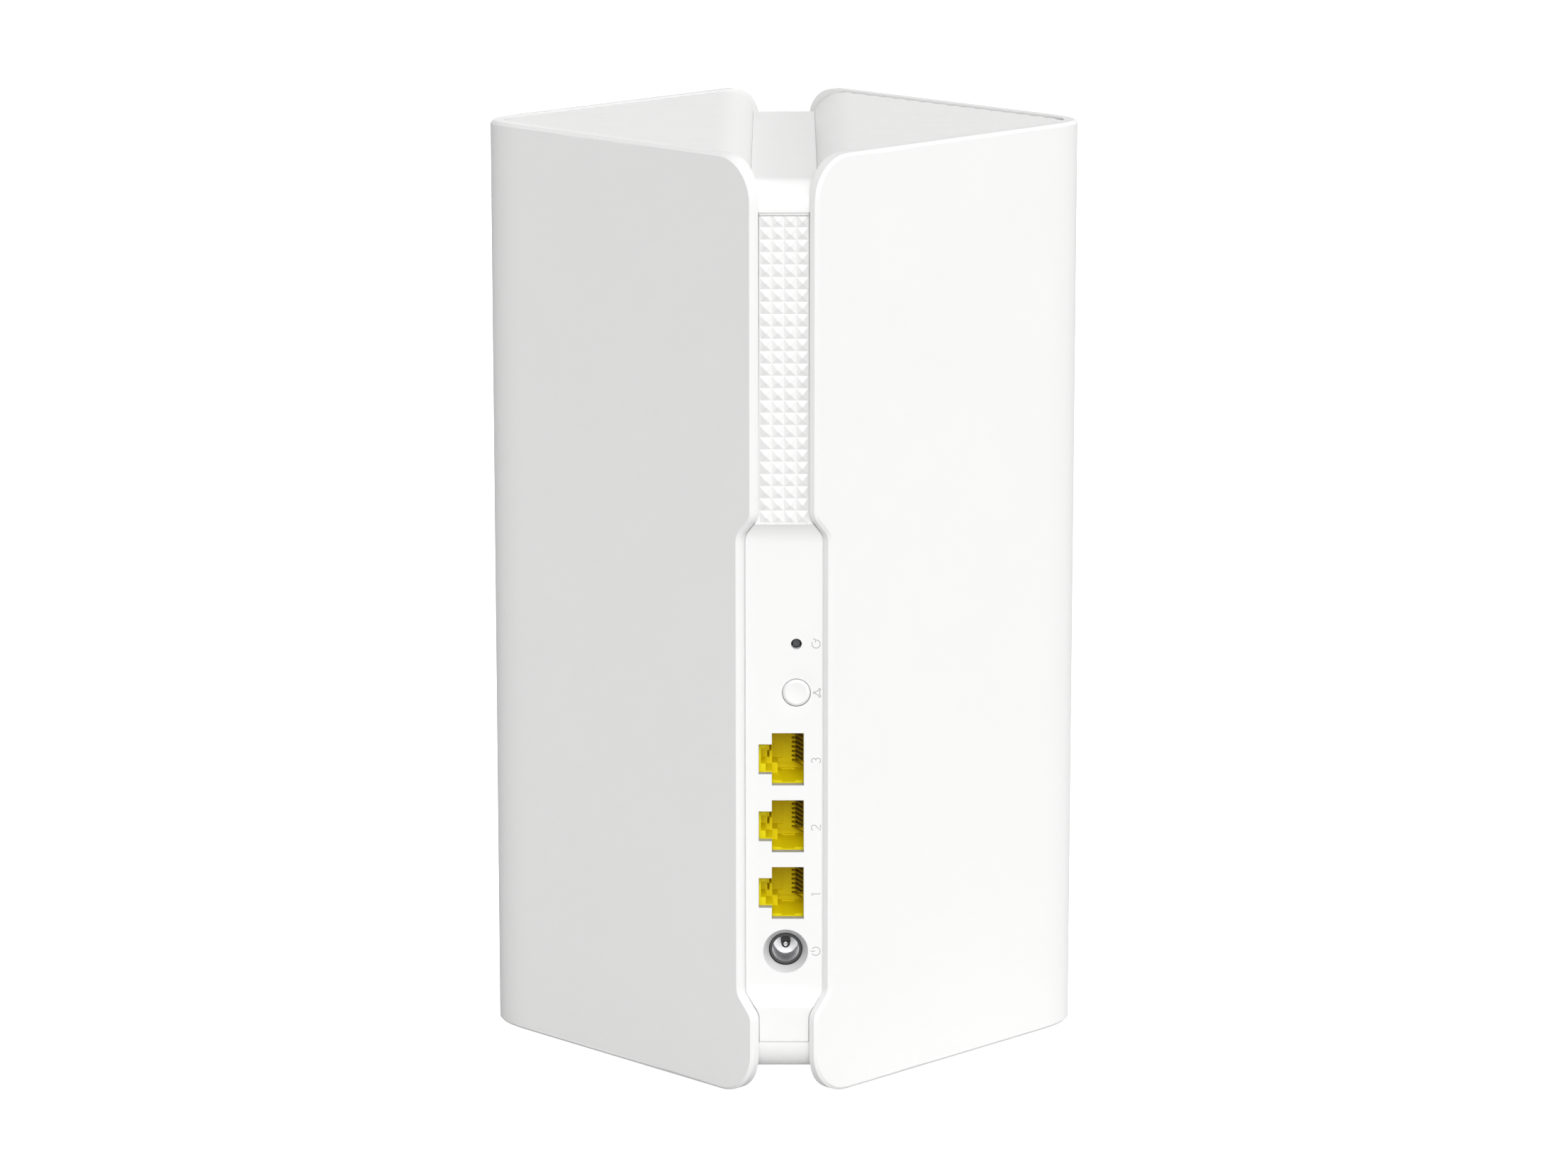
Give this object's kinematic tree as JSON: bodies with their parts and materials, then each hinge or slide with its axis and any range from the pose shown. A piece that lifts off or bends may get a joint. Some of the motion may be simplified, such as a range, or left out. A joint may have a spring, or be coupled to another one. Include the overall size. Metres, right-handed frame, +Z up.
{
  "type": "wireless router",
  "caption": "Tall white mesh wireless router: prism-shaped wings either side of a narrow spine with LAN sockets, a power inlet, a mesh button and a reset button.",
  "frame": {"origin": "on the surface it stands on, under the middle of the router", "axes": "+Z up along the tower, -Y towards the side with the sockets, +X and -X through the two wings"},
  "size_m": [0.1312, 0.126, 0.21],
  "materials": {
    "cover_white": "fine satin white ABS",
    "case_white": "matt white, fine ribs on the tops",
    "spine_white": "satin white, pyramid pattern on the strips",
    "base_grey": "matt light grey",
    "foot_rubber": "matt grey rubber",
    "jack_yellow": "yellow moulded nylon",
    "contact_gold": "gold-plated spring contacts",
    "black_plastic": "matt black moulding",
    "chrome": "bright nickel",
    "steel": "plated steel",
    "board_green": "green solder mask",
    "aluminium": "extruded aluminium",
    "pad_blue": "soft silicone pad",
    "lens_clear": "frosted clear polycarbonate",
    "lead_grey": "grey cable jacket"
  },
  "bodies": {
    "housing": {"board_screw_1": "steel", "board_screw_2": "steel", "board_screw_3": "steel", "board_screw_4": "steel", "button_board": "board_green", "dc_jack_housing": "black_plastic", "dc_jack_pin": "chrome", "dc_jack_sleeve": "chrome", "front_panel": "spine_white", "heat_sink": "aluminium", "lan_contacts_1": "contact_gold", "lan_contacts_2": "contact_gold", "lan_contacts_3": "contact_gold", "lan_jack_1": "jack_yellow", "lan_jack_2": "jack_yellow", "lan_jack_3": "jack_yellow", "lan_transformer_1": "black_plastic", "lan_transformer_2": "black_plastic", "lan_transformer_3": "black_plastic", "left_base_plate": "base_grey", "left_base_screw_1": "steel", "left_base_screw_2": "steel", "left_front_antenna": "board_green", "left_front_antenna_lead": "lead_grey", "left_front_foot": "foot_rubber", "left_inner_case": "case_white", "left_outer_cover": "cover_white", "left_outer_foot": "foot_rubber", "left_rear_antenna": "board_green", "left_rear_antenna_lead": "lead_grey", "left_rear_foot": "foot_rubber", "light_board": "board_green", "main_board": "board_green", "mesh_switch_body": "steel", "power_capacitor": "aluminium", "processor": "black_plastic", "radio_shield": "steel", "rear_panel": "spine_white", "reset_switch_body": "steel", "right_base_plate": "base_grey", "right_base_screw_1": "steel", "right_base_screw_2": "steel", "right_front_antenna": "board_green", "right_front_antenna_lead": "lead_grey", "right_front_foot": "foot_rubber", "right_inner_case": "case_white", "right_outer_cover": "cover_white", "right_outer_foot": "foot_rubber", "right_rear_antenna": "board_green", "right_rear_antenna_lead": "lead_grey", "right_rear_foot": "foot_rubber", "spine_bottom_cap": "spine_white", "spine_frame": "base_grey", "spine_top_cap": "spine_white", "status_led": "lens_clear", "status_light_lens": "lens_clear", "thermal_pad": "pad_blue"},
    "mesh_button_body": {"mesh_button": "spine_white", "mesh_switch_plunger": "black_plastic"},
    "reset_button_body": {"reset_switch_plunger": "lead_grey"}
  },
  "joints": [
    {"name": "mesh_press", "type": "slide", "parent": "housing", "child": "mesh_button_body", "axis": [0, 1, 0], "range_m": [0, 0.0006], "stiffness_N_per_m": 2000},
    {"name": "reset_press", "type": "slide", "parent": "housing", "child": "reset_button_body", "axis": [0, 1, 0], "range_m": [0, 0.00025], "stiffness_N_per_m": 3000}
  ]
}
